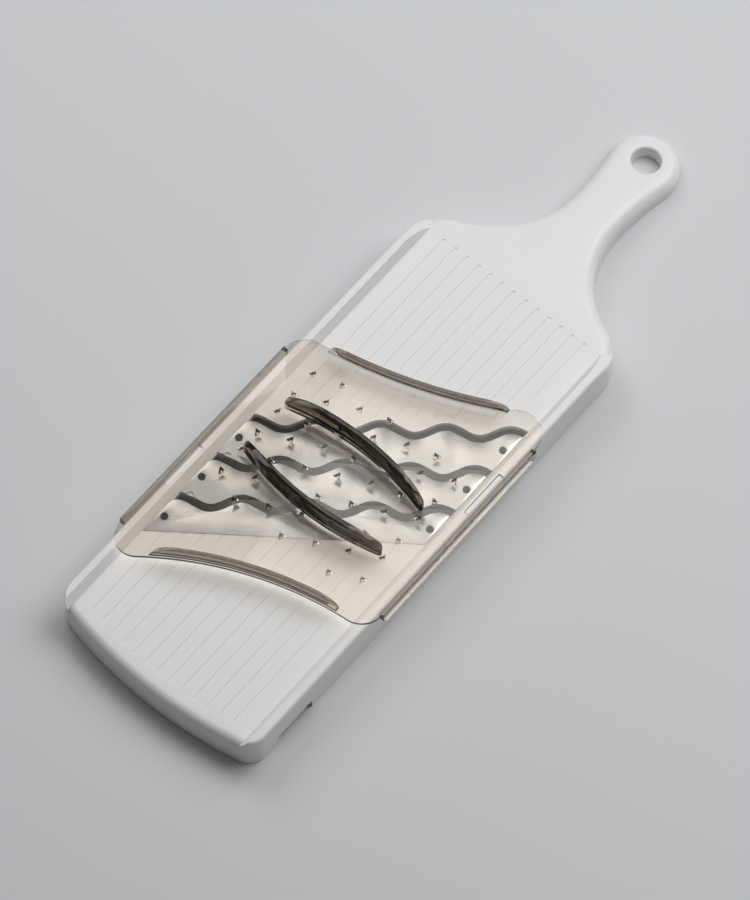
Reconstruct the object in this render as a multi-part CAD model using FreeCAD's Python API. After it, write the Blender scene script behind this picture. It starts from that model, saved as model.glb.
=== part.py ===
import FreeCAD, Part
import math
import os

# Mandoline slicer for cabbage: a moulded board with a handle, three wavy steel blades
# pinned across it on the slant, and a clear food holder that slides along two rails.
#
# Millimetres. +X is to the right, +Y runs from the front edge to the handle, +Z is up.
# The origin is on the resting plane, under the middle of the board's length and width.

os.makedirs("parts", exist_ok=True)

# ---------------------------------------------------------------- board
BOARD_LENGTH = 378.0      # front edge to the tip of the handle
BOARD_WIDTH = 118.0       # across the outsides of the rails
DECK_HEIGHT = 19.0        # resting plane to the cutting deck
RAIL_RISE = 4.1           # rail top above the deck
RAIL_FLAT = 4.0           # width of the flat on top of a rail
RAIL_SLOPE = 3.2          # width of the rail's sloping inner side
RAIL_ROUND = 1.6          # rounding along the rail's outer top edge
RAIL_END_RADIUS = 33.0    # curve by which a rail falls away to the shoulder
RAIL_END_RUN = 9.0        # how far before the shoulder that curve starts
WALL = 2.4                # skirt thickness
DECK_SKIN = 3.0           # deck thickness
INNER_ROUND = 2.5         # rounding inside the hollow, under the deck
FRONT_RADIUS = 235.0      # bow of the front edge, seen from above
FRONT_CORNER = 10.0       # front corners, seen from above
FRONT_ROUND = 4.5         # rounding of the front edge into its skirt

# ---------------------------------------------------------------- handle
HANDLE_LENGTH = 121.0     # shoulder to the tip
SHOULDER_RADIUS = 20.8    # shoulders, seen from above
SHOULDER_ROUND = 6.4      # crown along the edges of the shoulder and the handle
NECK_WIDTH = 28.0         # narrowest part of the handle
NECK_FROM_TIP = 54.6      # narrowest part to the tip
HANDLE_END_RADIUS = 17.8  # round end of the handle
HANDLE_FALL_START = 16.0  # shoulder to where the top begins to fall
HANDLE_FALL_RADIUS = 120.0
HANDLE_FALL_ANGLE = 6.8   # degrees
HOLE_RADIUS = 7.2         # hanging hole
HOLE_FROM_TIP = 16.4
HOLE_ROUND = 1.4          # rounding of the hole's upper rim
HANDLE_RIB = 2.0          # rib inside the handle
HANDLE_RIB_FOOT = 2.0     # its lower edge above the resting plane

# ---------------------------------------------------------------- guide grooves in the deck
GROOVE_PITCH = 7.1
GROOVE_WIDTH = 1.9
GROOVE_DEPTH = 0.3
GROOVE_FRONT_GAP = 9.5    # front edge to the front ends of the grooves
GROOVE_REAR_GAP = 5.4     # rear ends of the grooves past the shoulder line
GROOVE_SLOT_GAP = 8.0     # grooves stop this far behind the first slot's middle line
GROOVE_BLADE_GAP = 1.5    # and this far in front of the last blade
CHANNEL_MARGIN = 6.0      # clear deck between the outer grooves and the rails

# ---------------------------------------------------------------- blades
BLADE_NAMES = ["rear", "middle", "front"]
BLADE_SLANT = 37.13       # degrees between the blades and the width of the board
BLADE_PITCH = 26.2        # slot to slot, along the board
BLADE_THICKNESS = 0.7
BLADE_RISE = 0.9          # cutting edge above the deck
BLADE_END_GAP = 0.3       # blade end to the foot of the rail's slope
BLADE_BED_GAP = 0.2       # round the blade in its bed
FRONT_BLADE_DEPTH = 19.65 # last slot to the straight front edge of the last blade
BLADE_ZONE_OFFSET = 14.2  # middle slot behind the middle of the deck
WAVE_LENGTH = 24.0        # one wave of the cutting edge, across the board
WAVE_HEIGHT = 2.65        # half the height of a wave
WAVE_SHIFT = -1.2
SLOT_WIDTH = 4.3          # gap from one blade to the next
NOTCH_RADIUS = 1.7        # locating notch in a blade's back edge
NOTCH_FROM_RAIL = 4.5

RIVET_HEAD_RADIUS = 1.85
RIVET_HEAD_HEIGHT = 0.4
RIVET_HEAD_ROUND = 0.28
RIVET_SHANK_RADIUS = 1.2
RIVET_SHANK_DEPTH = 1.4   # shank below the blade
RIVET_CLEARANCE = 0.05
RIVET_FROM_RAIL = 3.1     # rivet to the foot of the rail's slope
RIVET_FROM_SLOT = 10.15   # rivet in front of its slot, along the board

# ---------------------------------------------------------------- openings under the blades
WINDOW_BACK = 5.0         # window edge behind the slot's middle line, square to the slant
WINDOW_FRONT = 9.0        # window edge in front of it
WINDOW_LEDGE = 7.5        # deck left at each end of a window
BAR_RIB = 2.4             # rib under each bar between windows
BAR_RIB_DEPTH = 8.0
RIB_ROOT = 0.5            # how far a rib's root runs into the deck
WINDOW_TOOL_FOOT = 5.0    # cutting tools for windows start here, inside the hollow

# ---------------------------------------------------------------- hook notches in the side skirts
HOOK_LENGTH = 25.0
HOOK_HEIGHT = 6.8
HOOK_FROM_FRONT = 22.8
HOOK_LEAN = 2.0           # the notch's front end leans forward by this much

# ---------------------------------------------------------------- food holder
HOLDER_OFFSET = -10.7     # middle of the holder from the middle slot
HOLDER_CLEARANCE = 0.3    # plate above the rail tops
PLATE_THICKNESS = 1.8
PLATE_OVERHANG = 2.0      # plate past the outside of the rails
FLANGE_CLEARANCE = 0.6    # flange to the outside of the rail
FLANGE_THICKNESS = 2.6
FLANGE_DEPTH = 6.4        # flange below the plate
FLANGE_LONG_END = 78.0    # flange from the middle of the holder to its lobe end
FLANGE_SHORT_END = 37.5   # and to its other end
FLANGE_SHIFT = 6.5        # rear flange end shorter than the front one
FLANGE_TOP_ROUND = 1.08
PLATE_CORNER = 12.0       # plain corners of the plate
PLATE_SIDE_END = 37.5     # straight side to the plain corner
LOBE_REACH = {"rear": 84.5, "front": 90.0}
LOBE_RADIUS = {"rear": 12.0, "front": 10.5}
LOBE_JOIN = {"rear": 50.0, "front": 38.0}   # degrees
EDGE_BOW_Y = 62.0         # the plate's curved edge at the middle of its width
WINDOW_SLIT_LENGTH = 25.0
WINDOW_SLIT_WIDTH = 2.6
WINDOW_SLIT_Y = 39.0
WINDOW_SLIT_INSET = 3.3   # middle of the slit inside the plate's edge
NUB_PROUD = 0.3           # grip rib inside the flange, under each slit
NUB_HEIGHT = 1.6

FIN_HALF_SPAN = 41.5
FIN_MIDDLE = 20.2         # fin's middle line from the middle of the holder
FIN_SAG = 5.5             # its ends are this much nearer
FIN_THICKNESS = 3.0
FIN_HEIGHT = 13.6
FIN_END_RUN = 20.0        # length over which a fin's top falls at each end
FIN_END_HEIGHT = 5.0
RIB_THICKNESS = 2.0
RIB_INSET = 0.4           # rib's outer face inside the plate's curved edge
RIB_END_HEIGHT = 0.5
RIB_HEIGHT = 7.4
RIB_END_RUN = 9.0
RIB_START = 17.0          # rib's plain end inside the plate's side
RIB_STOP = 21.5           # rib's lobe end inside the plate's side

SPIKE_COLUMN_PITCH = 14.2
SPIKE_ROW_PITCH = 25.5
SPIKE_SIDE = 4.2
SPIKE_LENGTH = 2.8
SPIKE_TIP_SCALE = 0.4
SPIKE_MARGIN = 4.0        # spikes to the foot of the rail's slope
PLATE_OVERLAP = 0.2       # fins, ribs and spikes start this far inside the plate
SPIKE_ROWS = [            # first row, rows, direction, column parity
    (40.0, 4, -1, 0),
    (28.5, 3, 1, 0),
    (35.7, 3, 1, 1),
    (21.7, 3, -1, 1),
]

# ---------------------------------------------------------------- worked out from the above
FRONT_Y = -BOARD_LENGTH / 2
TIP_Y = BOARD_LENGTH / 2
HALF_WIDTH = BOARD_WIDTH / 2
CHANNEL_HALF = HALF_WIDTH - RAIL_FLAT - RAIL_SLOPE
RAIL_Z = DECK_HEIGHT + RAIL_RISE
SHOULDER_Y = TIP_Y - HANDLE_LENGTH
NECK_Y = TIP_Y - NECK_FROM_TIP
HANDLE_END_Y = TIP_Y - HANDLE_END_RADIUS
HOLE_Y = TIP_Y - HOLE_FROM_TIP
MIDDLE_SLOT_Y = (FRONT_Y + SHOULDER_Y) / 2 + BLADE_ZONE_OFFSET
SLOT_Y = {name: MIDDLE_SLOT_Y + BLADE_PITCH * (1 - i) for i, name in enumerate(BLADE_NAMES)}
HOLDER_Y = MIDDLE_SLOT_Y + HOLDER_OFFSET
PLATE_Z = RAIL_Z + HOLDER_CLEARANCE
PLATE_HALF = HALF_WIDTH + PLATE_OVERHANG
SLANT = math.radians(BLADE_SLANT)
STRIP_REACH = 1.6 * HALF_WIDTH   # half length of a strip drawn along the slant
WAVE_STEPS = 96                  # points along a wavy line of that length
FAR = 400.0                      # longer than the board, for cutting tools
PAST = 10.0                      # how far a cutting tool runs past what it cuts
UP = FreeCAD.Vector(0, 0, 1)


def vec(x, y, z=0.0):
    return FreeCAD.Vector(x, y, z)


def arc(start, middle, end):
    return Part.Arc(start, middle, end).toShape()


def arc_about(centre, radius, start_deg, end_deg):
    """Arc about a centre from one compass angle to another, in the XY plane."""
    points = []
    for angle in (start_deg, (start_deg + end_deg) / 2, end_deg):
        turn = math.radians(angle)
        points.append(centre + vec(radius * math.cos(turn), radius * math.sin(turn)))
    return arc(points[0], points[1], points[2])


def angle_of(vector):
    return math.degrees(math.atan2(vector.y, vector.x))


def block(x0, x1, y0, y1, z0, z1):
    return Part.makeBox(x1 - x0, y1 - y0, z1 - z0, vec(x0, y0, z0))


def mirrored(shape):
    return shape.mirror(vec(0, 0, 0), vec(1, 0, 0))


# ================================================================ board

def half_outline():
    """Right half of the board's outline, from the front middle to the tip, as tangent arcs."""
    front_centre = vec(0, FRONT_Y + FRONT_RADIUS)
    corner_x = HALF_WIDTH - FRONT_CORNER
    corner_drop = math.sqrt((FRONT_RADIUS - FRONT_CORNER) ** 2 - corner_x ** 2)
    corner = vec(corner_x, front_centre.y - corner_drop)
    corner_angle = angle_of(corner - front_centre)

    shoulder = vec(HALF_WIDTH - SHOULDER_RADIUS, SHOULDER_Y)
    neck_x = NECK_WIDTH / 2
    # the hollow curve touches the shoulder's arc and is upright at the neck
    rise = NECK_Y - SHOULDER_Y
    across = neck_x - shoulder.x
    hollow_radius = (SHOULDER_RADIUS ** 2 - rise ** 2 - across ** 2) / (2 * (across - SHOULDER_RADIUS))
    hollow = vec(neck_x + hollow_radius, NECK_Y)
    meet_angle = angle_of(hollow - shoulder)

    # the waist curve is upright at the neck and touches the round end
    end = vec(0, HANDLE_END_Y)
    end_rise = HANDLE_END_Y - NECK_Y
    swell = HANDLE_END_RADIUS - neck_x
    waist_radius = (neck_x ** 2 + end_rise ** 2 - HANDLE_END_RADIUS ** 2) / (2 * swell)
    waist = vec(neck_x + waist_radius, NECK_Y)
    end_angle = angle_of(waist - end)

    side_start = vec(HALF_WIDTH, corner.y)
    side_end = vec(HALF_WIDTH, SHOULDER_Y)
    return [
        arc_about(front_centre, FRONT_RADIUS, -90, corner_angle),
        arc_about(corner, FRONT_CORNER, corner_angle, 0),
        Part.makeLine(side_start, side_end),
        arc_about(shoulder, SHOULDER_RADIUS, 0, meet_angle),
        arc_about(hollow, hollow_radius, 180 + meet_angle, 180),
        arc_about(waist, waist_radius, 180, 180 + end_angle),
        arc_about(end, HANDLE_END_RADIUS, end_angle, 90),
    ]


def outline_wire():
    right = half_outline()
    left = [mirrored(edge) for edge in right]
    return Part.Wire(Part.__sortEdges__(right + left))


def deck_profile(drop):
    """Side view of the board's top, lowered by drop, as a solid that is wide in X."""
    top = DECK_HEIGHT - drop
    fall = math.radians(HANDLE_FALL_ANGLE)
    fall_y = SHOULDER_Y + HANDLE_FALL_START
    curve_y = fall_y + HANDLE_FALL_RADIUS * math.sin(fall)
    curve_z = top - HANDLE_FALL_RADIUS * (1 - math.cos(fall))
    mid_y = fall_y + HANDLE_FALL_RADIUS * math.sin(fall / 2)
    mid_z = top - HANDLE_FALL_RADIUS * (1 - math.cos(fall / 2))
    past_tip = TIP_Y + PAST
    tip_z = curve_z - (past_tip - curve_y) * math.tan(fall)
    before_front = FRONT_Y - PAST
    x = -HALF_WIDTH - PAST
    edges = [
        Part.makeLine(vec(x, before_front, -5), vec(x, before_front, top)),
        Part.makeLine(vec(x, before_front, top), vec(x, fall_y, top)),
        arc(vec(x, fall_y, top), vec(x, mid_y, mid_z), vec(x, curve_y, curve_z)),
        Part.makeLine(vec(x, curve_y, curve_z), vec(x, past_tip, tip_z)),
        Part.makeLine(vec(x, past_tip, tip_z), vec(x, past_tip, -5)),
        Part.makeLine(vec(x, past_tip, -5), vec(x, before_front, -5)),
    ]
    return Part.Face(Part.Wire(edges)).extrude(vec(2 * (HALF_WIDTH + PAST), 0, 0))


def is_upright(face):
    u0, u1, v0, v1 = face.ParameterRange
    return abs(face.normalAt((u0 + u1) / 2, (v0 + v1) / 2).z) < 0.01


def top_rim(shape, lowest):
    """Edges where the upright sides meet the top of a shape."""
    upright = [face for face in shape.Faces if is_upright(face)]
    top = [face for face in shape.Faces if not is_upright(face)]
    rim = []
    for edge in shape.Edges:
        if edge.BoundBox.ZMin < lowest:
            continue
        on_side = any(edge.isSame(other) for face in upright for other in face.Edges)
        on_top = any(edge.isSame(other) for face in top for other in face.Edges)
        if on_side and on_top:
            rim.append(edge)
    return rim


def rounded(shape, edges_and_radii):
    """Fillet with its own radius at each edge, growing along an edge where two are given."""
    document = FreeCAD.newDocument("rounding")
    base = document.addObject("Part::Feature", "base")
    base.Shape = shape
    fillet = document.addObject("Part::Fillet", "fillet")
    fillet.Base = base
    table = []
    for edge, first, last in edges_and_radii:
        for number, other in enumerate(shape.Edges, 1):
            if other.isSame(edge):
                table.append((number, first, last))
    fillet.Edges = table
    document.recompute()
    result = fillet.Shape.copy()
    FreeCAD.closeDocument(document.Name)
    return result


def rim_radius(y):
    """Rounding of the deck's rim: tight at the front, a full crown along the handle."""
    side_start = FRONT_Y + FRONT_CORNER * 2
    share = (y - side_start) / (SHOULDER_Y - side_start)
    share = min(1.0, max(0.0, share))
    return FRONT_ROUND + (SHOULDER_ROUND - FRONT_ROUND) * share


def board_block():
    """Solid board up to the deck, with its rounded rim."""
    solid = Part.Face(outline_wire()).extrude(UP * (RAIL_Z + PAST)).common(deck_profile(0))
    table = []
    for edge in top_rim(solid, 1.0):
        first = edge.valueAt(edge.FirstParameter)
        last = edge.valueAt(edge.LastParameter)
        table.append((edge, rim_radius(first.y), rim_radius(last.y)))
    return rounded(solid, table)


def rail():
    """Right-hand rail: flat top, sloping inner side, falling away to the shoulder."""
    foot = DECK_HEIGHT - FRONT_ROUND - 2
    section = [
        vec(CHANNEL_HALF, FRONT_Y - 5, foot),
        vec(CHANNEL_HALF, FRONT_Y - 5, DECK_HEIGHT),
        vec(CHANNEL_HALF + RAIL_SLOPE, FRONT_Y - 5, RAIL_Z),
        vec(HALF_WIDTH + 5, FRONT_Y - 5, RAIL_Z),
        vec(HALF_WIDTH + 5, FRONT_Y - 5, foot),
    ]
    section.append(section[0])
    start_y = SHOULDER_Y - RAIL_END_RUN
    fall = RAIL_Z - foot
    reach = math.sqrt(RAIL_END_RADIUS ** 2 - (RAIL_END_RADIUS - fall) ** 2)
    bar = Part.Face(Part.makePolygon(section)).extrude(vec(0, start_y + reach + 5 - FRONT_Y, 0))

    half_turn = math.asin(reach / RAIL_END_RADIUS) / 2
    mid_y = start_y + RAIL_END_RADIUS * math.sin(half_turn)
    mid_z = RAIL_Z - RAIL_END_RADIUS * (1 - math.cos(half_turn))
    side = Part.Wire([
        Part.makeLine(vec(0, FRONT_Y - 5, foot), vec(0, FRONT_Y - 5, RAIL_Z)),
        Part.makeLine(vec(0, FRONT_Y - 5, RAIL_Z), vec(0, start_y, RAIL_Z)),
        arc(vec(0, start_y, RAIL_Z), vec(0, mid_y, mid_z), vec(0, start_y + reach, foot)),
        Part.makeLine(vec(0, start_y + reach, foot), vec(0, FRONT_Y - 5, foot)),
    ])
    side_solid = Part.Face(side).extrude(vec(HALF_WIDTH + PAST, 0, 0))
    outline = Part.Face(outline_wire()).extrude(UP * (RAIL_Z + 5))
    solid = bar.common(side_solid).common(outline)
    outer = []
    for edge in top_rim(solid, DECK_HEIGHT - 3):
        middle = edge.valueAt((edge.FirstParameter + edge.LastParameter) / 2)
        if middle.x > CHANNEL_HALF + RAIL_SLOPE * 0.6:
            outer.append(edge)
    return solid.makeFillet(RAIL_ROUND, outer).Solids[0]


def groove(x, y0, y1):
    """Cutting tool for one guide groove: a shallow flat-bottomed channel with round ends."""
    half = GROOVE_WIDTH / 2
    floor = DECK_HEIGHT - GROOVE_DEPTH
    middle = block(x - half, x + half, y0, y1, floor, DECK_HEIGHT + 1)
    ends = [Part.makeCylinder(half, GROOVE_DEPTH + 1, vec(x, y, floor)) for y in (y0, y1)]
    return middle.fuse(ends).removeSplitter()


def slot_line_y(x, name):
    return SLOT_Y[name] + x * math.tan(SLANT)


def groove_tools():
    count = int((CHANNEL_HALF - CHANNEL_MARGIN) / GROOVE_PITCH)
    tools = []
    for i in range(-count, count + 1):
        x = i * GROOVE_PITCH
        rear_end = SHOULDER_Y + GROOVE_REAR_GAP
        rear_start = slot_line_y(x, "rear") + GROOVE_SLOT_GAP
        front_bow = FRONT_RADIUS - math.sqrt(FRONT_RADIUS ** 2 - x ** 2)
        front_start = FRONT_Y + front_bow + GROOVE_FRONT_GAP
        front_end = slot_line_y(x, "front") - FRONT_BLADE_DEPTH - GROOVE_BLADE_GAP
        tools.append(groove(x, rear_start, rear_end))
        tools.append(groove(x, front_start, front_end))
    return tools


# ================================================================ slots and blades
# Each slot has its own flat frame: u runs along the slant and v square to it, towards
# the handle. The frame's zero is where the slot's middle line crosses x = 0.

def placed(shape, name, tilt=0.0, axis_v=0.0):
    """Move a shape from a slot's frame to the board, tipped about a line of constant v."""
    moved = shape.copy()
    moved.rotate(vec(0, axis_v, DECK_HEIGHT), vec(1, 0, 0), tilt)
    moved.rotate(vec(0, 0, 0), UP, BLADE_SLANT)
    moved.translate(vec(0, SLOT_Y[name], 0))
    return moved


def wave_points(offset):
    """Points of the wavy line, kept a distance offset to its handle side."""
    turns = 2 * math.pi * math.cos(SLANT) / WAVE_LENGTH
    phase = WAVE_SHIFT / math.cos(SLANT)
    reach = STRIP_REACH
    points = []
    for i in range(WAVE_STEPS + 1):
        u = -reach + 2 * reach * i / WAVE_STEPS
        v = WAVE_HEIGHT * math.cos(turns * (u - phase))
        slope = -WAVE_HEIGHT * turns * math.sin(turns * (u - phase))
        length = math.hypot(1, slope)
        points.append(vec(u - offset * slope / length, v + offset / length))
    return points


def curve_through(points):
    spline = Part.BSplineCurve()
    spline.interpolate(points)
    return spline.toShape()


def strip(back_points, front_points, z0, z1):
    """Solid between two lines that run along the slant."""
    back = curve_through(back_points)
    front = curve_through(front_points)
    left = Part.makeLine(back_points[0], front_points[0])
    right = Part.makeLine(back_points[-1], front_points[-1])
    face = Part.Face(Part.Wire(Part.__sortEdges__([back, left, front, right])))
    face.translate(vec(0, 0, z0))
    return face.extrude(UP * (z1 - z0))


def straight_points(v):
    reach = STRIP_REACH
    return [vec(-reach, v), vec(0, v), vec(reach, v)]


def next_slot_shift():
    """From one slot's frame to the next slot in front of it."""
    return vec(-BLADE_PITCH * math.sin(SLANT), -BLADE_PITCH * math.cos(SLANT))


def blade_front_points(name):
    if name == BLADE_NAMES[-1]:
        return straight_points(-FRONT_BLADE_DEPTH * math.cos(SLANT))
    shift = next_slot_shift()
    return [point + shift for point in wave_points(SLOT_WIDTH / 2)]


def blade_fall(name):
    """Distance, square to the slant, over which a blade comes down to the deck."""
    if name == BLADE_NAMES[-1]:
        return FRONT_BLADE_DEPTH * math.cos(SLANT)
    return BLADE_PITCH * math.cos(SLANT)


def blade_tilt(name):
    return math.degrees(math.atan(BLADE_RISE / (blade_fall(name) - SLOT_WIDTH / 2)))


def on_blade(shape, name):
    """Place a shape drawn on the flat blade, whose top is at deck height before it is tipped."""
    return placed(shape, name, blade_tilt(name), -blade_fall(name))


def channel_slice(half):
    return block(-half, half, -FAR, FAR, 0, RAIL_Z + PAST)


def rivet_spots(name):
    """Left and right rivet places in a blade's frame, as (side, u, v)."""
    spots = []
    for side, sign in (("left", -1), ("right", 1)):
        x = sign * (CHANNEL_HALF - RIVET_FROM_RAIL)
        y = x * math.tan(SLANT) - RIVET_FROM_SLOT
        u = x * math.cos(SLANT) + y * math.sin(SLANT)
        v = -x * math.sin(SLANT) + y * math.cos(SLANT)
        spots.append((side, u, v))
    return spots


def locating_notch(name, z0, z1):
    """Round notch near the left end of a blade's back edge, where it meets the next slot."""
    x = -(CHANNEL_HALF - NOTCH_FROM_RAIL)
    nearest = min(blade_front_points(name), key=lambda point: abs(across_board(point) - x))
    return Part.makeCylinder(NOTCH_RADIUS, z1 - z0, vec(nearest.x, nearest.y, z0))


def across_board(point):
    return point.x * math.cos(SLANT) - point.y * math.sin(SLANT)


def blade(name):
    bottom = DECK_HEIGHT - BLADE_THICKNESS
    plate = strip(wave_points(-SLOT_WIDTH / 2), blade_front_points(name), bottom, DECK_HEIGHT)
    for side, u, v in rivet_spots(name):
        radius = RIVET_SHANK_RADIUS + RIVET_CLEARANCE
        plate = plate.cut(Part.makeCylinder(radius, 10, vec(u, v, DECK_HEIGHT - 5)))
    if name != BLADE_NAMES[-1]:
        plate = plate.cut(locating_notch(name, bottom - 1, DECK_HEIGHT + 1))
    return on_blade(plate, name).common(channel_slice(CHANNEL_HALF - BLADE_END_GAP))


def rivet(name, u, v):
    """Round-headed rivet: shank from the head down into the ledge."""
    depth = BLADE_THICKNESS + RIVET_SHANK_DEPTH
    shank = Part.makeCylinder(RIVET_SHANK_RADIUS, depth, vec(u, v, DECK_HEIGHT - depth))
    head = Part.makeCylinder(RIVET_HEAD_RADIUS, RIVET_HEAD_HEIGHT, vec(u, v, DECK_HEIGHT))
    rim = [edge for edge in head.Edges if edge.BoundBox.ZMin > DECK_HEIGHT + RIVET_HEAD_HEIGHT * 0.9]
    head = head.makeFillet(RIVET_HEAD_ROUND, rim)
    return on_blade(head.fuse(shank).removeSplitter(), name)


def blade_bed_tool(name):
    """Everything above the sloping bed that a blade lies in."""
    bottom = DECK_HEIGHT - BLADE_THICKNESS
    front = [point + vec(0, -BLADE_BED_GAP) for point in blade_front_points(name)]
    if name != BLADE_NAMES[-1]:
        front = straight_points(next_slot_shift().y - WAVE_HEIGHT)
    bed = strip(wave_points(SLOT_WIDTH / 2), front, bottom, DECK_HEIGHT + PAST)
    tool = on_blade(bed, name)
    for side, u, v in rivet_spots(name):
        radius = RIVET_SHANK_RADIUS + RIVET_CLEARANCE
        depth = BLADE_THICKNESS + RIVET_SHANK_DEPTH + RIVET_CLEARANCE
        bore = Part.makeCylinder(radius, depth + 5, vec(u, v, DECK_HEIGHT - depth))
        tool = tool.fuse(on_blade(bore, name))
    return tool.common(channel_slice(CHANNEL_HALF))


def window_tool(name):
    """Opening through the deck under a cutting edge, where the slices fall."""
    foot = WINDOW_TOOL_FOOT
    head = DECK_HEIGHT + PAST
    ribbon = strip(wave_points(SLOT_WIDTH / 2), wave_points(-SLOT_WIDTH / 2), foot, head)
    ribbon = placed(ribbon, name).common(channel_slice(CHANNEL_HALF - BLADE_END_GAP))
    back = wave_points(SLOT_WIDTH / 2) if name == BLADE_NAMES[0] else straight_points(WINDOW_BACK)
    opening = strip(back, straight_points(-WINDOW_FRONT), foot, head)
    opening = placed(opening, name).common(channel_slice(CHANNEL_HALF - WINDOW_LEDGE))
    return ribbon.fuse(opening)


# ================================================================ hollow underside

def hollow():
    """Space under the deck and inside the handle."""
    inner = outline_wire().makeOffset2D(-WALL)
    solid = Part.Face(inner).extrude(UP * FAR).common(deck_profile(DECK_SKIN))
    solid = rounded(solid, [(edge, INNER_ROUND, INNER_ROUND) for edge in top_rim(solid, 1.0)])
    foot = Part.Face(inner).extrude(UP * 1.0)
    foot.translate(vec(0, 0, -0.5))
    boss = Part.makeCylinder(HOLE_RADIUS + WALL, FAR, vec(0, HOLE_Y, -1))
    return solid.fuse(foot).cut(boss)


def bar_ribs():
    """Stiffening ribs under the bars between the windows."""
    ribs = []
    middle = -(WINDOW_FRONT + BLADE_PITCH * math.cos(SLANT) - WINDOW_BACK) / 2
    top = DECK_HEIGHT - DECK_SKIN + RIB_ROOT
    for name in BLADE_NAMES:
        back = straight_points(middle + BAR_RIB / 2)
        front = straight_points(middle - BAR_RIB / 2)
        ribs.append(placed(strip(back, front, top - BAR_RIB_DEPTH, top), name))
    return ribs


def handle_rib():
    y0 = SHOULDER_Y + HANDLE_FALL_START
    return block(-HANDLE_RIB / 2, HANDLE_RIB / 2, y0, HOLE_Y, HANDLE_RIB_FOOT, DECK_HEIGHT)


def hook_notch():
    """Right-hand notch in the skirt that sits over the rim of a bowl."""
    y0 = FRONT_Y + HOOK_FROM_FRONT
    y1 = y0 + HOOK_LENGTH
    x = HALF_WIDTH - 3 * WALL
    corners = [
        vec(x, y0, -1),
        vec(x, y0 + HOOK_LEAN, HOOK_HEIGHT),
        vec(x, y1, HOOK_HEIGHT),
        vec(x, y1, -1),
        vec(x, y0, -1),
    ]
    return Part.Face(Part.makePolygon(corners)).extrude(vec(4 * WALL, 0, 0))


def hanging_hole(board):
    bore = Part.makeCylinder(HOLE_RADIUS, FAR, vec(0, HOLE_Y, -1))
    pierced = board.cut(bore)
    rim = []
    for edge in pierced.Edges:
        box = edge.BoundBox
        about_hole = abs(box.Center.y - HOLE_Y) < 1 and abs(box.Center.x) < 0.1
        hole_sized = HOLE_RADIUS < box.XLength < 2 * HOLE_RADIUS + 0.1
        if about_hole and hole_sized and box.ZMin > DECK_SKIN:
            rim.append(edge)
    return pierced.makeFillet(HOLE_ROUND, rim)


def outer_shape():
    """Board and rails as one solid. The right half is made first and mirrored."""
    right_side = block(0, FAR, -FAR, FAR, -PAST, RAIL_Z + PAST)
    half = board_block().Solids[0].fuse(rail()).common(right_side)
    return half.fuse(mirrored(half)).removeSplitter()


def body():
    board = hanging_hole(outer_shape())
    space = hollow()
    ribs = [rib.common(space) for rib in bar_ribs() + [handle_rib()]]
    board = board.cut(space)
    board = board.fuse(ribs)
    board = board.cut(groove_tools())
    for name in BLADE_NAMES:
        board = board.cut(blade_bed_tool(name))
        board = board.cut(window_tool(name))
    notch = hook_notch()
    return board.cut([notch, mirrored(notch)])


# ================================================================ food holder
# Drawn about its own middle, then moved to HOLDER_Y. The front half is the rear half
# turned round, with its lobe reaching a little further.

def plate_end(end):
    """Rear edge of the plate, from the left side to the right side."""
    reach = LOBE_REACH[end]
    lobe_radius = LOBE_RADIUS[end]
    plain = vec(-PLATE_HALF + PLATE_CORNER, PLATE_SIDE_END)
    lobe = vec(PLATE_HALF - lobe_radius, reach - lobe_radius)
    join = math.radians(90 + LOBE_JOIN[end])
    join_point = lobe + vec(lobe_radius * math.cos(join), lobe_radius * math.sin(join))
    corner_end = plain + vec(0, PLATE_CORNER)
    return [
        arc_about(plain, PLATE_CORNER, 180, 90),
        arc(corner_end, vec(0, EDGE_BOW_Y), join_point),
        arc_about(lobe, lobe_radius, 90 + LOBE_JOIN[end], 0),
    ]


def turned(shape):
    half_turn = shape.copy()
    half_turn.rotate(vec(0, 0, 0), UP, 180)
    return half_turn


def plate_face():
    rear = plate_end("rear")
    front = [turned(edge) for edge in plate_end("front")]
    right_end = vec(PLATE_HALF, LOBE_REACH["rear"] - LOBE_RADIUS["rear"])
    right_low = vec(PLATE_HALF, -PLATE_SIDE_END)
    left_low = vec(-PLATE_HALF, -(LOBE_REACH["front"] - LOBE_RADIUS["front"]))
    left_top = vec(-PLATE_HALF, PLATE_SIDE_END)
    sides = [Part.makeLine(right_end, right_low), Part.makeLine(left_low, left_top)]
    return Part.Face(Part.Wire(Part.__sortEdges__(rear + front + sides)))


def wall_between(face, z0, z1):
    solid = face.copy()
    solid.translate(vec(0, 0, z0))
    return solid.extrude(UP * (z1 - z0))


def humped(length, height, end_height, end_run, centre_x):
    """Side view of a fin or rib: flat top that falls in a quarter ellipse at each end."""
    steps = 6
    points = [vec(centre_x - length / 2, 0, -1)]
    for i in range(steps + 1):
        turn = math.pi / 2 * i / steps
        x = centre_x - length / 2 + end_run * (1 - math.cos(turn))
        points.append(vec(x, 0, end_height + (height - end_height) * math.sin(turn)))
    right = [vec(2 * centre_x - p.x, 0, p.z) for p in reversed(points)]
    left_curve = curve_through(points[1:])
    right_curve = curve_through(right[:-1])
    edges = [
        Part.makeLine(points[0], points[1]),
        left_curve,
        Part.makeLine(points[-1], right[0]),
        right_curve,
        Part.makeLine(right[-2], right[-1]),
        Part.makeLine(right[-1], points[0]),
    ]
    face = Part.Face(Part.Wire(edges))
    face.translate(vec(0, -FAR / 2, 0))
    return face.extrude(vec(0, FAR, 0))


def curved_wall(start, middle, end, thickness, height):
    """Upright wall along an arc, with round ends seen from above."""
    band = Part.Wire([arc(start, middle, end)]).makeOffset2D(thickness / 2)
    return Part.Face(band).extrude(UP * height)


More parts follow.
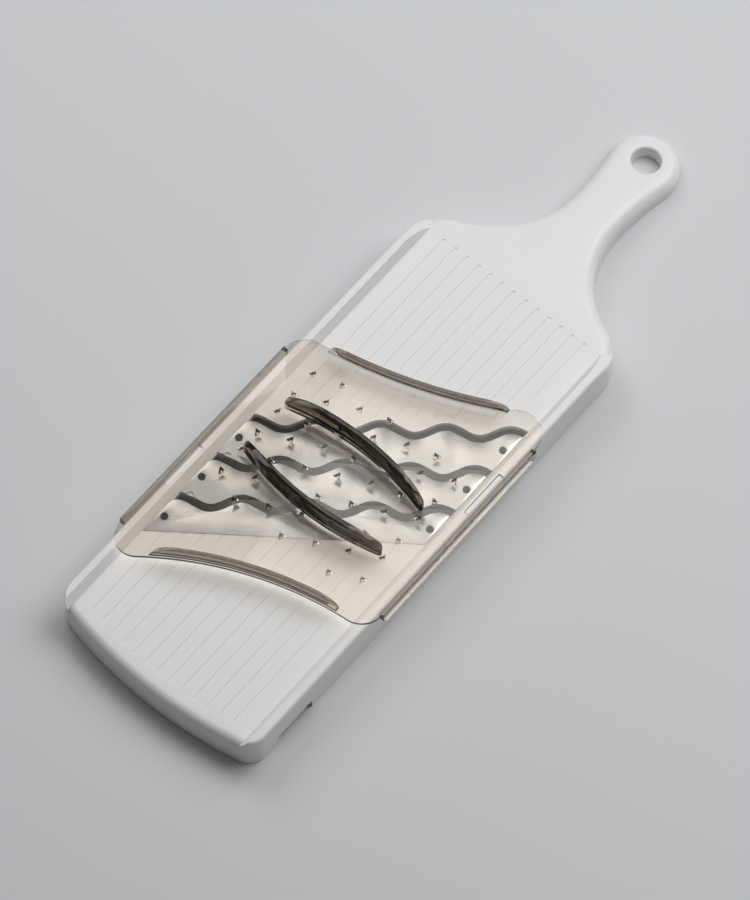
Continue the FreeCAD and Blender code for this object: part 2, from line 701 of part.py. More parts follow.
def fin():
    start = vec(-FIN_HALF_SPAN + FIN_THICKNESS / 2, FIN_MIDDLE - FIN_SAG)
    middle = vec(0, FIN_MIDDLE)
    end = vec(FIN_HALF_SPAN - FIN_THICKNESS / 2, FIN_MIDDLE - FIN_SAG)
    wall = curved_wall(start, middle, end, FIN_THICKNESS, FIN_HEIGHT + 1)
    return wall.common(humped(2 * FIN_HALF_SPAN, FIN_HEIGHT, FIN_END_HEIGHT, FIN_END_RUN, 0))


def edge_rib(end):
    """Finger stop that stands along the plate's curved edge."""
    bow = plate_end(end)[1].Curve
    outer = bow.Radius + RIB_INSET
    ring = Part.makeCylinder(outer + RIB_THICKNESS, RIB_HEIGHT + 1, bow.Center)
    ring = ring.cut(Part.makeCylinder(outer, RIB_HEIGHT + 2, bow.Center))
    x0 = -PLATE_HALF + RIB_START
    x1 = PLATE_HALF - RIB_STOP
    hump = humped(x1 - x0, RIB_HEIGHT, RIB_END_HEIGHT, RIB_END_RUN, (x0 + x1) / 2)
    return ring.common(hump).common(block(x0 - 1, x1 + 1, 0, PLATE_HALF * 2, -1, RIB_HEIGHT + 1))


def flange(long_end):
    """Left-hand flange that hangs outside the rail, with round lower corners."""
    x1 = -(HALF_WIDTH + FLANGE_CLEARANCE)
    x0 = x1 - FLANGE_THICKNESS
    wall = block(x0, x1, -long_end, FLANGE_SHORT_END, -FLANGE_DEPTH, PLATE_THICKNESS)
    corners = [edge for edge in wall.Edges if abs(edge.BoundBox.ZMax + FLANGE_DEPTH) < 0.01
               and edge.BoundBox.YLength < 0.01]
    wall = wall.makeFillet(FLANGE_THICKNESS, corners)
    outer_top = [edge for edge in wall.Edges if abs(edge.BoundBox.ZMin - PLATE_THICKNESS) < 0.01
                 and edge.BoundBox.XMax < x0 + 0.01]
    return wall.makeFillet(FLANGE_TOP_ROUND, outer_top)


def slit():
    """Left-hand slit through the plate over the grip rib."""
    x = -PLATE_HALF + WINDOW_SLIT_INSET
    half = WINDOW_SLIT_WIDTH / 2
    y0 = -WINDOW_SLIT_Y - WINDOW_SLIT_LENGTH / 2
    return block(x - half, x + half, y0, y0 + WINDOW_SLIT_LENGTH, -1, PLATE_THICKNESS + 1)


def grip_nub():
    """Low rib inside the left-hand flange that takes up the play on the rail."""
    x = -(HALF_WIDTH + FLANGE_CLEARANCE)
    y0 = -WINDOW_SLIT_Y - WINDOW_SLIT_LENGTH / 2
    z0 = -(FLANGE_DEPTH + NUB_HEIGHT) / 2
    return block(x - 1, x + NUB_PROUD, y0, y0 + WINDOW_SLIT_LENGTH, z0, z0 + NUB_HEIGHT)


def spike(x, y, direction):
    """Three-sided spike that points down and is slightly blunt."""
    def triangle(scale, z):
        radius = SPIKE_SIDE / math.sqrt(3) * scale
        corners = []
        for i in range(4):
            turn = math.radians(90 * direction + 120 * i)
            corners.append(vec(x + radius * math.cos(turn), y + radius * math.sin(turn), z))
        return Part.makePolygon(corners)
    root = triangle(1.0, PLATE_OVERLAP)
    tip = triangle(SPIKE_TIP_SCALE, -SPIKE_LENGTH)
    return Part.makeLoft([root, tip], True, True)


def spikes():
    columns = int((CHANNEL_HALF - SPIKE_MARGIN) / SPIKE_COLUMN_PITCH)
    solids = []
    for first, rows, direction, parity in SPIKE_ROWS:
        for column in range(-columns, columns + 1):
            if column % 2 != parity:
                continue
            for row in range(rows):
                y = first - row * SPIKE_ROW_PITCH
                solids.append(spike(column * SPIKE_COLUMN_PITCH, y, direction))
    return solids


def holder():
    plate = wall_between(plate_face(), 0, PLATE_THICKNESS)
    pieces = []
    for long_end, turn in ((FLANGE_LONG_END, False), (FLANGE_LONG_END - FLANGE_SHIFT, True)):
        side = flange(long_end)
        pieces.append(turned(side) if turn else side)
    plate = plate.fuse(pieces)
    standing = [fin(), turned(fin()), edge_rib("rear"), turned(edge_rib("front"))]
    for wall in standing:
        wall.translate(vec(0, 0, PLATE_THICKNESS - PLATE_OVERLAP))
    plate = plate.fuse(standing)
    plate = plate.fuse([grip_nub(), turned(grip_nub())])
    plate = plate.fuse(spikes())
    plate = plate.cut([slit(), turned(slit())]).removeSplitter()
    plate.translate(vec(0, HOLDER_Y, PLATE_Z))
    return plate


# ================================================================ write the sub-parts

def write(name, shape):
    if shape.ShapeType == "Compound" and len(shape.Solids) == 1:
        shape = shape.Solids[0]
    box = shape.BoundBox
    print("%-22s solids %d valid %s volume %9.1f  x %.1f..%.1f  y %.1f..%.1f  z %.2f..%.2f" % (
        name, len(shape.Solids), shape.isValid(), shape.Volume,
        box.XMin, box.XMax, box.YMin, box.YMax, box.ZMin, box.ZMax))
    shape.exportStep("parts/%s.step" % name)


write("body", body())
for blade_name in BLADE_NAMES:
    write("blade_" + blade_name, blade(blade_name))
    for side_name, rivet_u, rivet_v in rivet_spots(blade_name):
        write("rivet_%s_%s" % (blade_name, side_name), rivet(blade_name, rivet_u, rivet_v))
write("holder", holder())
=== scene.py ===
# %% [markdown]
# # Mandoline slicer for cabbage
# A white moulded board with a handle carries three wavy steel blades, and a see-through
# brown holder slides over them on two rails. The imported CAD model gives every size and
# place, so this script only adds what CAD leaves plain: soft edges, finishes and light.

# %% Load the frame
import math
import bpy
import bmesh
from mathutils import Matrix, Vector


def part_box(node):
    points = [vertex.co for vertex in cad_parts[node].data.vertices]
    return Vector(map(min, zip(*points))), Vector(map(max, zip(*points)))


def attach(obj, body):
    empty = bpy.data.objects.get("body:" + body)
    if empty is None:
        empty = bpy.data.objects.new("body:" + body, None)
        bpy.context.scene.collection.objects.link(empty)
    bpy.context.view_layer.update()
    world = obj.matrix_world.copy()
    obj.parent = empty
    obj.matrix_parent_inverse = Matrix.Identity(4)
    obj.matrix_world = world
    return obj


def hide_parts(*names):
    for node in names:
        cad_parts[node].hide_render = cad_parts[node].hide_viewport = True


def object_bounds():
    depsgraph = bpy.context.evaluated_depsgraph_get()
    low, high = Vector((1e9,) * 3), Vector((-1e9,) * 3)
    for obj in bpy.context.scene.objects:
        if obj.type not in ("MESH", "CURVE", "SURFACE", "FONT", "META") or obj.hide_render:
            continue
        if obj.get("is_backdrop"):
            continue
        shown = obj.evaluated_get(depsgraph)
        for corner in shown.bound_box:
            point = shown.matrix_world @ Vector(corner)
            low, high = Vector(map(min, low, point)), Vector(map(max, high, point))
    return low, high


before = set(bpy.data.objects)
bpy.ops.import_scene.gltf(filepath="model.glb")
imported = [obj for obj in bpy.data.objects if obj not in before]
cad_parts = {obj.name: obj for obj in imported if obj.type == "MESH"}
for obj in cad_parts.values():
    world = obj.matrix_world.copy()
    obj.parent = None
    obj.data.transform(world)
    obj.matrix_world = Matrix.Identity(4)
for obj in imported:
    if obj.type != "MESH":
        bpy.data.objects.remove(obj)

cad_low, cad_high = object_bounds()
MM = 0.001
print("CAD box in mm:", [round(v / MM, 1) for v in (*cad_low, *cad_high)])

# %% [markdown]
# ## Reading places from the frame
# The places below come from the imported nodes, apart from two numbers that repeat the design:
# how far the holder's plate lies above the rails, and the slant of the blades. The deck's
# height is not a box's corner, so it is worked out from the board's own points: of all
# heights in the middle of the deck's width, it is the highest one, because the rails stand
# only along the sides.

# %% Places on the board
BLADES = ["rear", "middle", "front"]
SLANT = math.radians(37.13)
DECK_HALF_WIDTH = 30.0 * MM
PLATE_ABOVE_RAILS = 2.1 * MM
deck_z = max(point.co.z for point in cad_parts["body"].data.vertices
             if abs(point.co.x) < DECK_HALF_WIDTH)
rail_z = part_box("body")[1].z
plate_top = rail_z + PLATE_ABOVE_RAILS
print("deck %.2f mm, rails %.2f mm, holder plate top %.2f mm" % (
    deck_z / MM, rail_z / MM, plate_top / MM))

# %% [markdown]
# ## Camera
# The slicer is seen from above, turned about 40 degrees, through a long lens, so that its
# far end looks hardly smaller than its near end.

# %% Camera
CAMERA_AZIMUTH = math.radians(40.236)
CAMERA_ELEVATION = math.radians(64.559)
CAMERA_DISTANCE = 2.56415
CAMERA_TARGET = Vector((-0.002723, -0.02404, 0.0))
LENS_MM = 220.0
SENSOR_MM = 36.0
NEAREST = 0.05
FARTHEST = 20.0


def toward(azimuth, elevation):
    """Unit vector from the slicer toward a viewer or lamp at these angles."""
    flat = math.cos(elevation)
    return Vector((math.sin(azimuth) * flat, -math.cos(azimuth) * flat, math.sin(elevation)))


camera_data = bpy.data.cameras.new("camera")
camera_data.lens = LENS_MM
camera_data.sensor_width = SENSOR_MM
camera_data.clip_start = NEAREST
camera_data.clip_end = FARTHEST
camera = bpy.data.objects.new("camera", camera_data)
bpy.context.scene.collection.objects.link(camera)
back = toward(CAMERA_AZIMUTH, CAMERA_ELEVATION)
camera.location = CAMERA_TARGET + back * CAMERA_DISTANCE
camera.rotation_euler = back.to_track_quat("Z", "Y").to_euler()
bpy.context.scene.camera = camera
print("camera at", [round(v, 3) for v in camera.location])

# %% [markdown]
# ## Light
# The strongest lamp, back, is large and soft. It stands behind the handle to the right and
# lights the deck and the right side, while the front skirt is left in shade. The lamp called
# key is weaker and stands to the left. The one called top is for the steel: a mirror shows
# only what stands where it looks, and this lamp's edge stands there, so the blades are
# brightest at their right ends.

# %% Lamps and sky
bpy.context.scene.view_settings.view_transform = "Standard"
SKY_COLOUR = (0.93, 0.95, 0.98, 1.0)
SKY_STRENGTH = 0.11
LAMPS = [
    # name, azimuth, elevation, distance, size, watts
    ("key", 252.0, 48.0, 1.5, 0.9, 6.5),
    ("back", 155.0, 52.0, 1.7, 1.3, 16.5),
    ("top", 190.0, 68.0, 1.6, 0.8, 3.4),
]
for name, azimuth, elevation, distance, size, watts in LAMPS:
    data = bpy.data.lights.new(name, "AREA")
    data.shape = "SQUARE"
    data.size = size
    data.energy = watts
    lamp = bpy.data.objects.new(name, data)
    bpy.context.scene.collection.objects.link(lamp)
    direction = toward(math.radians(azimuth), math.radians(elevation))
    lamp.location = direction * distance
    lamp.rotation_euler = direction.to_track_quat("Z", "Y").to_euler()
    print("lamp", name, "at", [round(v, 2) for v in lamp.location])

world = bpy.data.worlds.new("sky")
bpy.context.scene.world = world
world.use_nodes = True
sky = world.node_tree.nodes["Background"]
sky.inputs["Color"].default_value = SKY_COLOUR
sky.inputs["Strength"].default_value = SKY_STRENGTH
print("sky strength", SKY_STRENGTH)

# %% [markdown]
# ## Shared finishes
# Three small effects are used by more than one material, so each is a node group made once:
# a slow drift of tone, fine moulding grain, and hair-thin scratches that run one way. A
# group only puts out colours, masks and heights. The shader itself stays in the material.


# %% Helpers for node groups
def new_group(name, inputs, outputs):
    """Node group with float inputs (name, value) and outputs (name, socket type)."""
    group = bpy.data.node_groups.new(name, "ShaderNodeTree")
    for label, value in inputs:
        socket = group.interface.new_socket(
            label, in_out="INPUT", socket_type="NodeSocketFloat")
        socket.default_value = value
    for label, kind in outputs:
        group.interface.new_socket(label, in_out="OUTPUT", socket_type=kind)
    entry = group.nodes.new("NodeGroupInput")
    leave = group.nodes.new("NodeGroupOutput")
    return group, entry, leave


def add(tree, kind, **settings):
    """Add a node, set its properties by name, and return it."""
    node = tree.nodes.new(kind)
    for key, value in settings.items():
        setattr(node, key, value)
    return node


def maths(tree, operation, first, second):
    """Math node fed by sockets or numbers."""
    node = add(tree, "ShaderNodeMath", operation=operation)
    for i, value in enumerate((first, second)):
        if isinstance(value, (int, float)):
            node.inputs[i].default_value = value
        else:
            tree.links.new(value, node.inputs[i])
    return node.outputs[0]


# %% Slow drift of tone
drift, drift_in, drift_out = new_group(
    "tone_drift", [("Scale", 12.0), ("Amount", 0.05)], [("Drift", "NodeSocketFloat")])
place = add(drift, "ShaderNodeTexCoord")
cloud = add(drift, "ShaderNodeTexNoise")
cloud.inputs["Detail"].default_value = 3.0
drift.links.new(place.outputs["Object"], cloud.inputs["Vector"])
drift.links.new(drift_in.outputs["Scale"], cloud.inputs["Scale"])
centred = maths(drift, "SUBTRACT", cloud.outputs["Fac"], 0.5)
scaled = maths(drift, "MULTIPLY", centred, drift_in.outputs["Amount"])
drift.links.new(scaled, drift_out.inputs["Drift"])
print("group", drift.name)

# %% Fine moulding grain
grain, grain_in, grain_out = new_group(
    "moulding_grain", [("Scale", 1800.0), ("Height", 1.0)], [("Grain", "NodeSocketFloat")])
place = add(grain, "ShaderNodeTexCoord")
speck = add(grain, "ShaderNodeTexNoise")
speck.inputs["Detail"].default_value = 2.0
grain.links.new(place.outputs["Object"], speck.inputs["Vector"])
grain.links.new(grain_in.outputs["Scale"], speck.inputs["Scale"])
high = maths(grain, "MULTIPLY", speck.outputs["Fac"], grain_in.outputs["Height"])
grain.links.new(high, grain_out.inputs["Grain"])
print("group", grain.name)

# %% Hair-thin scratches along one direction
scratch, scratch_in, scratch_out = new_group(
    "fine_scratches", [("Turn", 0.0), ("Scale", 900.0), ("Stretch", 0.02), ("Amount", 1.0)],
    [("Scratches", "NodeSocketFloat")])
place = add(scratch, "ShaderNodeTexCoord")
spin = add(scratch, "ShaderNodeVectorRotate", rotation_type="Z_AXIS")
scratch.links.new(place.outputs["Object"], spin.inputs["Vector"])
scratch.links.new(scratch_in.outputs["Turn"], spin.inputs["Angle"])
parts = add(scratch, "ShaderNodeSeparateXYZ")
scratch.links.new(spin.outputs["Vector"], parts.inputs["Vector"])
long_way = maths(scratch, "MULTIPLY", parts.outputs["X"], scratch_in.outputs["Stretch"])
join = add(scratch, "ShaderNodeCombineXYZ")
scratch.links.new(long_way, join.inputs["X"])
scratch.links.new(parts.outputs["Y"], join.inputs["Y"])
scratch.links.new(parts.outputs["Z"], join.inputs["Z"])
lines = add(scratch, "ShaderNodeTexNoise")
lines.inputs["Detail"].default_value = 4.0
scratch.links.new(join.outputs["Vector"], lines.inputs["Vector"])
scratch.links.new(scratch_in.outputs["Scale"], lines.inputs["Scale"])
kept = maths(scratch, "MULTIPLY", lines.outputs["Fac"], scratch_in.outputs["Amount"])
scratch.links.new(kept, scratch_out.inputs["Scratches"])
print("group", scratch.name)


# %% Helpers for materials
def new_material(name):
    """Empty node material with its shader and output, ready for links."""
    material = bpy.data.materials.new(name)
    material.use_nodes = True
    tree = material.node_tree
    return material, tree, tree.nodes["Principled BSDF"], tree.nodes["Material Output"]


def use_group(tree, group, **values):
    """Place a shared effect in a material with its own values."""
    node = add(tree, "ShaderNodeGroup", node_tree=group)
    for key, value in values.items():
        node.inputs[key].default_value = value
    return node.outputs[0]


def toned(tree, colour, drift_socket):
    """A colour made a little lighter and darker by the drift."""
    amount = maths(tree, "ADD", drift_socket, 1.0)
    tint = add(tree, "ShaderNodeVectorMath", operation="SCALE")
    tint.inputs[0].default_value = colour
    tree.links.new(amount, tint.inputs["Scale"])
    return tint.outputs["Vector"]


def bumped(tree, shader, height, distance, strength):
    """Feed a height into the shader's normal."""
    bump = add(tree, "ShaderNodeBump")
    bump.inputs["Distance"].default_value = distance
    bump.inputs["Strength"].default_value = strength
    tree.links.new(height, bump.inputs["Height"])
    tree.links.new(bump.outputs["Normal"], shader.inputs["Normal"])


# %% [markdown]
# ## White board plastic
# The board is satin: it spreads light widely but its crowned edges still carry a soft
# highlight. Food being pushed along the deck leaves hair-thin marks in the grooves' line.

# %% Board plastic
white_plastic, tree, shader, _ = new_material("white_plastic")
tone = use_group(tree, drift, Scale=14.0, Amount=0.035)
tree.links.new(toned(tree, (0.80, 0.80, 0.795), tone), shader.inputs["Base Color"])
marks = use_group(tree, scratch, Turn=math.pi / 2, Scale=1400.0, Stretch=0.015, Amount=0.16)
rough_drift = use_group(tree, drift, Scale=40.0, Amount=0.10)
rough = maths(tree, "ADD", maths(tree, "ADD", marks, 0.27), rough_drift)
tree.links.new(rough, shader.inputs["Roughness"])
shader.inputs["IOR"].default_value = 1.5
shader.inputs["Subsurface Weight"].default_value = 0.12
shader.inputs["Subsurface Radius"].default_value = (0.0016, 0.0015, 0.0014)
shader.inputs["Subsurface Scale"].default_value = 1.0
bumped(tree, shader, use_group(tree, grain, Scale=1500.0, Height=1.0), 0.00002, 0.35)
print("material", white_plastic.name)

# %% [markdown]
# ## Blade steel
# The blades are polished along their length, which here is the slant. The polish lines blur
# what the steel mirrors in one direction, so the scratches are turned to the slant.

# %% Blade steel
blade_steel, tree, shader, _ = new_material("polished_blade_steel")
tone = use_group(tree, drift, Scale=25.0, Amount=0.05)
tree.links.new(toned(tree, (0.58, 0.585, 0.58), tone), shader.inputs["Base Color"])
shader.inputs["Metallic"].default_value = 1.0
polish = use_group(tree, scratch, Turn=-SLANT, Scale=5200.0, Stretch=0.02, Amount=0.08)
tree.links.new(maths(tree, "ADD", polish, 0.22), shader.inputs["Roughness"])
lines = use_group(tree, scratch, Turn=-SLANT, Scale=6000.0, Stretch=0.015, Amount=1.0)
bumped(tree, shader, lines, 0.000002, 0.35)
print("material", blade_steel.name)

# %% [markdown]
# ## Rivet steel
# The rivets are darker than the blades and not polished. Each head gets a dark tone that
# drifts a little across it, and fine pits that break up its shine.

# %% Rivet steel
rivet_steel, tree, shader, _ = new_material("dark_rivet_steel")
tone = use_group(tree, drift, Scale=220.0, Amount=0.25)
tree.links.new(toned(tree, (0.060, 0.062, 0.065), tone), shader.inputs["Base Color"])
shader.inputs["Metallic"].default_value = 1.0
pits = use_group(tree, grain, Scale=2400.0, Height=0.25)
tree.links.new(maths(tree, "ADD", pits, 0.22), shader.inputs["Roughness"])
bumped(tree, shader, use_group(tree, grain, Scale=2400.0, Height=1.0), 0.00001, 0.4)
print("material", rivet_steel.name)

# %% [markdown]
# ## Smoke-brown holder plastic
# Clear tinted plastic is dark where it is thick and pale where it is thin. Tinting its
# surface would make the thin plate as dark as the tall fins, so the tint is an absorption
# inside the solid: light that runs down a fin loses far more than light through the plate.
# The surface colour is darkened as well, but only with height above the plate. Lamps' rays
# are let through a tint, faint in the plate and deep in the fins, because a path tracer
# seldom finds its way from the board back through clear plastic to a lamp.

# %% Holder plastic
DARKENS_FROM = plate_top + 0.2 * MM
DARKENS_TO = plate_top + 10.0 * MM
smoke_plastic, tree, shader, output = new_material("clear_brown_plastic")
shader.inputs["Transmission Weight"].default_value = 1.0
shader.inputs["IOR"].default_value = 1.49
tone = use_group(tree, drift, Scale=30.0, Amount=0.03)
thin = toned(tree, (0.905, 0.895, 0.875), tone)
spot = add(tree, "ShaderNodeTexCoord")
spot_parts = add(tree, "ShaderNodeSeparateXYZ")
tree.links.new(spot.outputs["Object"], spot_parts.inputs["Vector"])
stands = add(tree, "ShaderNodeMapRange", interpolation_type="SMOOTHSTEP")
stands.inputs["From Min"].default_value = DARKENS_FROM
stands.inputs["From Max"].default_value = DARKENS_TO
tree.links.new(spot_parts.outputs["Z"], stands.inputs["Value"])
depth = add(tree, "ShaderNodeMix", data_type="RGBA")
tree.links.new(stands.outputs["Result"], depth.inputs["Factor"])
tree.links.new(thin, depth.inputs["A"])
flow = use_group(tree, scratch, Turn=0.0, Scale=1500.0, Stretch=1.0, Amount=0.5)
streaked = maths(tree, "SUBTRACT", flow, 0.25)
tree.links.new(toned(tree, (0.125, 0.100, 0.078), streaked), depth.inputs["B"])
tree.links.new(depth.outputs["Result"], shader.inputs["Base Color"])
wear = use_group(tree, scratch, Turn=math.pi / 2, Scale=1100.0, Stretch=0.02, Amount=0.05)
tree.links.new(maths(tree, "ADD", wear, 0.01), shader.inputs["Roughness"])
bumped(tree, shader, use_group(tree, grain, Scale=120.0, Height=1.0), 0.00003, 0.10)
tint = add(tree, "ShaderNodeVolumeAbsorption")
tint.inputs["Color"].default_value = (0.50, 0.41, 0.30, 1.0)
tint.inputs["Density"].default_value = 150.0
tree.links.new(tint.outputs["Volume"], output.inputs["Volume"])
clear = add(tree, "ShaderNodeBsdfTransparent")
shade = add(tree, "ShaderNodeMix", data_type="RGBA")
tree.links.new(stands.outputs["Result"], shade.inputs["Factor"])
shade.inputs["A"].default_value = (0.95, 0.94, 0.93, 1.0)
shade.inputs["B"].default_value = (0.30, 0.26, 0.23, 1.0)
tree.links.new(shade.outputs["Result"], clear.inputs["Color"])
path = add(tree, "ShaderNodeLightPath")
let_through = add(tree, "ShaderNodeMixShader")
tree.links.new(path.outputs["Is Shadow Ray"], let_through.inputs["Fac"])
tree.links.new(shader.outputs["BSDF"], let_through.inputs[1])
tree.links.new(clear.outputs["BSDF"], let_through.inputs[2])
tree.links.new(let_through.outputs["Shader"], output.inputs["Surface"])
print("material", smoke_plastic.name)

# %% [markdown]
# ## Floor
# A plain pale table, slightly blue, larger than the lamps' reach.

# %% Floor
FLOOR_SIZE = 8.0
FLOOR_Z = cad_low.z - 0.0002
floor_material, tree, shader, _ = new_material("pale_table")
tone = use_group(tree, drift, Scale=1.5, Amount=0.03)
tree.links.new(toned(tree, (0.64, 0.65, 0.665), tone), shader.inputs["Base Color"])
rough_drift = use_group(tree, drift, Scale=20.0, Amount=0.05)
tree.links.new(maths(tree, "ADD", rough_drift, 0.55), shader.inputs["Roughness"])
bpy.ops.object.select_all(action="DESELECT")
bpy.ops.mesh.primitive_plane_add(size=FLOOR_SIZE, location=(0, 0, FLOOR_Z))
floor = bpy.context.object
floor.name = "floor"
bpy.ops.object.transform_apply(location=True, rotation=True, scale=True)
floor.data.materials.append(floor_material)
floor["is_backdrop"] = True
print("floor at z = %.4f m" % FLOOR_Z)

# %% [markdown]
# ## Moulded pieces with softened edges
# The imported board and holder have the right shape, but their triangles are loose and their
# corners are knife-sharp. A mould never leaves such a corner, and the thin bright line along
# a rounded edge is most of what makes plastic look like plastic. So each is copied, its
# doubled points are merged, and chosen edges are bevelled by a fraction of a millimetre.
# Bevelling works only after the merge, because loose triangles share no edge to round. The
# flat areas of both are dissolved into larger faces first, so that fewer thin triangles lie
# beside a bevel. Only chosen edges are bevelled: a bevel modifier on every sharp edge, with
# no clamping, folded several hundred edges. Clamping stops the folding, but it can also
# shrink a bevel to nothing. So each piece prints its folded edges, which show whether a bevel
# went wrong, and its change of volume, which shows whether the bevel is there at all.

# %% Copy helpers
MERGE_DISTANCE = 1e-6
FLAT_ANGLE = math.radians(0.4)
SQUARE_ANGLE = math.radians(60)


def only(piece):
    """Make one object the selected and active one."""
    bpy.ops.object.select_all(action="DESELECT")
    piece.select_set(True)
    bpy.context.view_layer.objects.active = piece


def merged_copy(node, material, dissolve):
    """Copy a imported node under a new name, with its doubled points merged."""
    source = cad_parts[node]
    piece = bpy.data.objects.new(node + "_skin", source.data.copy())
    bpy.context.scene.collection.objects.link(piece)
    piece.hide_render = False
    only(piece)
    piece.data.materials.clear()
    piece.data.materials.append(material)
    bpy.ops.object.mode_set(mode="EDIT")
    bpy.ops.mesh.select_all(action="SELECT")
    bpy.ops.mesh.customdata_custom_splitnormals_clear()
    bpy.ops.mesh.remove_doubles(threshold=MERGE_DISTANCE)
    if dissolve:
        bpy.ops.mesh.dissolve_limited(angle_limit=FLAT_ANGLE)
    bpy.ops.object.mode_set(mode="OBJECT")
    return piece


def pick_faces(piece, wanted):
    """Select the faces of the piece in edit mode whose middle and normal pass a test."""
    bpy.ops.mesh.select_mode(type="FACE")
    bpy.ops.mesh.select_all(action="DESELECT")
    sheet = bmesh.from_edit_mesh(piece.data)
    for face in sheet.faces:
        face.select = wanted(face.calc_center_median(), face.normal)
    bmesh.update_edit_mesh(piece.data)


def soften(piece, width_mm, wanted, clamp):
    """Bevel the edges of a piece that are square and whose middle passes a test."""
    only(piece)
    bpy.ops.object.mode_set(mode="EDIT")
    bpy.ops.mesh.select_mode(type="EDGE")
    bpy.ops.mesh.select_all(action="DESELECT")
    sheet = bmesh.from_edit_mesh(piece.data)
    chosen = 0
    for edge in sheet.edges:
        middle = (edge.verts[0].co + edge.verts[1].co) / 2
        square = edge.is_manifold and edge.calc_face_angle_signed() > SQUARE_ANGLE
        if square and wanted(middle):
            edge.select = True
            chosen += 1
    bmesh.update_edit_mesh(piece.data)
    bpy.ops.mesh.bevel(offset=width_mm * MM, segments=2, profile=0.5,
                       affect="EDGES", clamp_overlap=clamp)
    bpy.ops.object.mode_set(mode="OBJECT")
    print(piece.name, "softened along", chosen, "edges")


# %% Check and hand over a piece
SMOOTH_ANGLE = math.radians(34)
FOLD_ANGLE = math.radians(178)


def volume_of(mesh):
    """Volume of a mesh in cubic millimetres, with doubled points merged first."""
    solid = bmesh.new()
    solid.from_mesh(mesh)
    bmesh.ops.remove_doubles(solid, verts=solid.verts, dist=MERGE_DISTANCE)
    bmesh.ops.triangulate(solid, faces=solid.faces)
    volume = solid.calc_volume(signed=True) / MM ** 3
    solid.free()
    return volume


def stands_for(piece, node, body):
    """Smooth a piece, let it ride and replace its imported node, and print its counts."""
    only(piece)
    bpy.ops.object.mode_set(mode="EDIT")
    bpy.ops.mesh.select_all(action="SELECT")
    bpy.ops.mesh.quads_convert_to_tris(quad_method="BEAUTY", ngon_method="BEAUTY")
    bpy.ops.object.mode_set(mode="OBJECT")
    bpy.ops.object.shade_smooth_by_angle(angle=SMOOTH_ANGLE)
    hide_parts(node)
    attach(piece, body)
    check = bmesh.new()
    check.from_mesh(piece.data)
    open_edges = sum(1 for edge in check.edges if not edge.is_manifold)
    folded = sum(1 for edge in check.edges
                 if edge.is_manifold and edge.calc_face_angle(0) > FOLD_ANGLE)
    check.free()
    change = volume_of(piece.data) - volume_of(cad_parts[node].data)
    piece.data.calc_loop_triangles()
    count = len(piece.data.loop_triangles)
    print("%s: %d triangles, %d open edges, %d folded edges, volume changed by %.1f mm3" % (
        piece.name, count, open_edges, folded, change))


# %% Board
RAIL_EDGE_BAND = 0.3 * MM
BOARD_ROUND_MM = 0.15
board = merged_copy("body", white_plastic, dissolve=True)
soften(board, BOARD_ROUND_MM, lambda middle: middle.z > rail_z - RAIL_EDGE_BAND, clamp=True)
stands_for(board, "body", "board")

# %% Holder
HOLDER_ROUND_MM = 0.22
CLEAR_OF_PLATE = 1.2 * MM
CLEAR_OF_FLANGES = 40.0 * MM
holder = merged_copy("holder", smoke_plastic, dissolve=True)
soften(holder, HOLDER_ROUND_MM, lambda middle: middle.z > plate_top + CLEAR_OF_PLATE
       and abs(middle.x) < CLEAR_OF_FLANGES, clamp=False)
stands_for(holder, "holder", "holder")

# %% [markdown]
# ## Blades with ground edges
# A blade is stamped with a square edge and then ground, which leaves a narrow sloping land
# along its wavy side. The land is set into the top, and the points along the wavy side alone
# are pressed down. That side is the highest part of a tipped blade, so its points are found
# by their height, leaving out the rims of the rivet holes. The wall has points of its own just
# below the rim, and a rim pressed past them folds the wall over. The depth was found by
# trying: 0.11 mm folds nothing, while 0.10 mm folds one edge and 0.12 mm six on each long
# blade, so a new mesh needs a new look.

# %% Grind a blade
FACES_UP = 0.9
IS_WALL = 0.5
LAND_WIDTH = 0.25 * MM
LAND_DROP = 0.11 * MM
EDGE_BAND = 0.45 * MM
HOLE_MARGIN = 2.0 * MM


def rivet_middle(name, side):
    """Middle of a packed rivet, seen from above."""
    low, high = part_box("rivet_%s_%s" % (name, side))
    return Vector(((low[0] + high[0]) / 2, (low[1] + high[1]) / 2))


def grind(piece, name):
    """Press a sloping land into the wavy back edge of a blade's top."""
    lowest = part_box("blade_" + name)[1][2] - EDGE_BAND
    holes = [rivet_middle(name, side) for side in ("left", "right")]
    only(piece)
    bpy.ops.object.mode_set(mode="EDIT")
    pick_faces(piece, lambda middle, normal: normal.z > FACES_UP)
    bpy.ops.mesh.inset(thickness=LAND_WIDTH, depth=0.0, use_even_offset=False)
    bpy.ops.mesh.select_all(action="DESELECT")
    bpy.ops.mesh.select_mode(type="VERT")
    sheet = bmesh.from_edit_mesh(piece.data)
    pressed = 0
    for point in sheet.verts:
        rises = [face.normal.z for face in point.link_faces]
        on_rim = max(rises) > FACES_UP and min(abs(rise) for rise in rises) < IS_WALL
        clear = all((point.co.xy - hole).length > HOLE_MARGIN for hole in holes)
        if on_rim and clear and point.co.z > lowest:
            point.select = True
            pressed += 1
    bmesh.update_edit_mesh(piece.data)
    bpy.ops.transform.translate(value=(0, 0, -LAND_DROP))
    bpy.ops.object.mode_set(mode="OBJECT")
    print(piece.name, "ground along", pressed, "points")


# %% Three blades
for name in BLADES:
    node = "blade_" + name
    piece = merged_copy(node, blade_steel, dissolve=False)
    grind(piece, name)
    stands_for(piece, node, "board")

# %% [markdown]
# ## Rivets
# Each rivet is a plain shank with its head pressed flat by a die, which leaves a rounded rim
# and a shallow dish in the middle. One head is made from a cylinder and copied to six places.
# The heads lie on the tipped blades, so each copy is tipped about the slant as well.

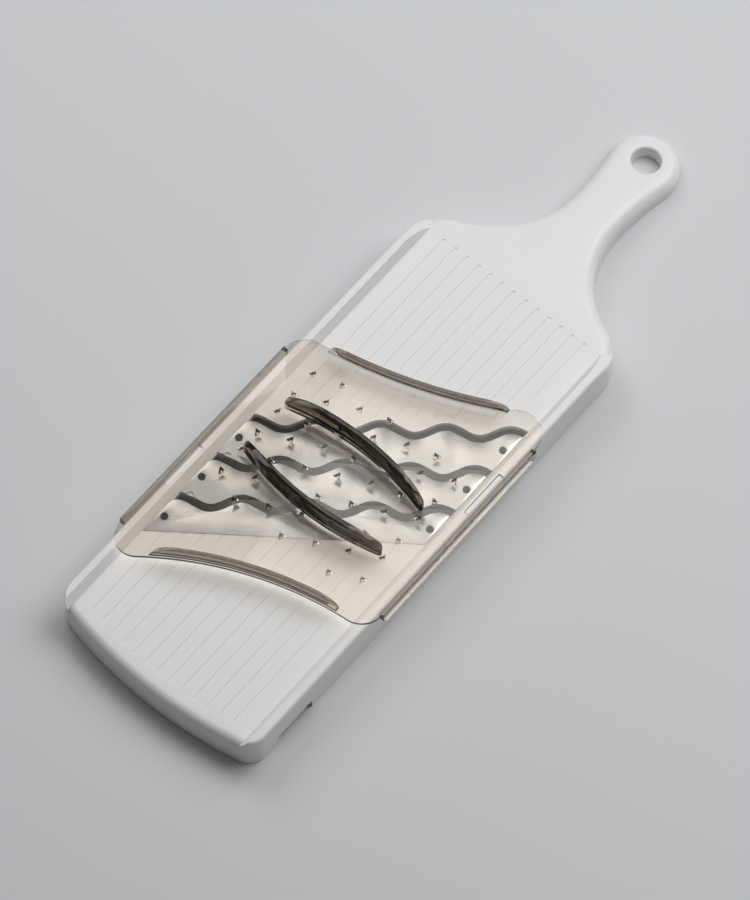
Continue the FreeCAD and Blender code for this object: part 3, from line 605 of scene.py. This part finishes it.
# %% One rivet at the origin, its seat at z = 0
HEAD_RADIUS = 1.85 * MM
HEAD_HEIGHT = 0.4 * MM
SHANK_RADIUS = 1.2 * MM
SHANK_LENGTH = 2.1 * MM
RIM_ROUND = 0.22 * MM
RIM_FLAT = 0.5 * MM
DISH_SLOPE = 0.3 * MM
DISH_DEPTH = 0.05 * MM
FACES_STRAIGHT = 0.99
bpy.ops.object.select_all(action="DESELECT")
bpy.ops.mesh.primitive_cylinder_add(
    vertices=40, radius=HEAD_RADIUS, depth=HEAD_HEIGHT, location=(0, 0, HEAD_HEIGHT / 2))
pattern = bpy.context.object
pattern.name = "rivet_pattern"
bpy.ops.object.transform_apply(location=True, rotation=True, scale=True)
only(pattern)
bpy.ops.object.mode_set(mode="EDIT")
pick_faces(pattern, lambda middle, normal: normal.z > FACES_UP)
bpy.ops.mesh.bevel(offset=RIM_ROUND, segments=4, profile=0.5, affect="EDGES")
pick_faces(pattern, lambda middle, normal: normal.z > FACES_STRAIGHT)
bpy.ops.mesh.inset(thickness=RIM_FLAT, depth=0.0)
bpy.ops.mesh.inset(thickness=DISH_SLOPE, depth=-DISH_DEPTH)
pick_faces(pattern, lambda middle, normal: normal.z < -FACES_STRAIGHT)
bpy.ops.mesh.inset(thickness=HEAD_RADIUS - SHANK_RADIUS, depth=0.0)
bpy.ops.mesh.extrude_region_move(TRANSFORM_OT_translate={"value": (0, 0, -SHANK_LENGTH)})
bpy.ops.object.mode_set(mode="OBJECT")
print("rivet pattern points:", len(pattern.data.vertices))

# %% Six rivets
# The pattern's own middle lies this far above its seat.
PATTERN_MIDDLE = (HEAD_HEIGHT - SHANK_LENGTH) / 2
for name in BLADES:
    for side in ("left", "right"):
        node = "rivet_%s_%s" % (name, side)
        packed = [Vector(face.normal) * face.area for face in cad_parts[node].data.polygons
                  if face.normal.z > FACES_STRAIGHT]
        up = sum(packed, Vector()).normalized()
        turn = Vector((0, 0, 1)).rotation_difference(up).to_matrix().to_4x4()
        low, high = (Vector(corner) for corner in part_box(node))
        centre = (low + high) / 2
        piece = pattern.copy()
        piece.data = pattern.data.copy()
        piece.name = node + "_skin"
        bpy.context.scene.collection.objects.link(piece)
        piece.data.transform(Matrix.Translation(centre - up * PATTERN_MIDDLE) @ turn)
        piece.data.materials.clear()
        piece.data.materials.append(rivet_steel)
        stands_for(piece, node, "board")
only(pattern)
bpy.ops.object.delete()

# %% [markdown]
# ## Sizes
# The box of the softened and ground pieces is printed, to set beside the CAD box printed at
# the start, because nothing added here should make the slicer larger than its design.

# %% Sizes and finish
low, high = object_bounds()
print("visual box in mm:", [round(v / MM, 1) for v in (*low, *high)])
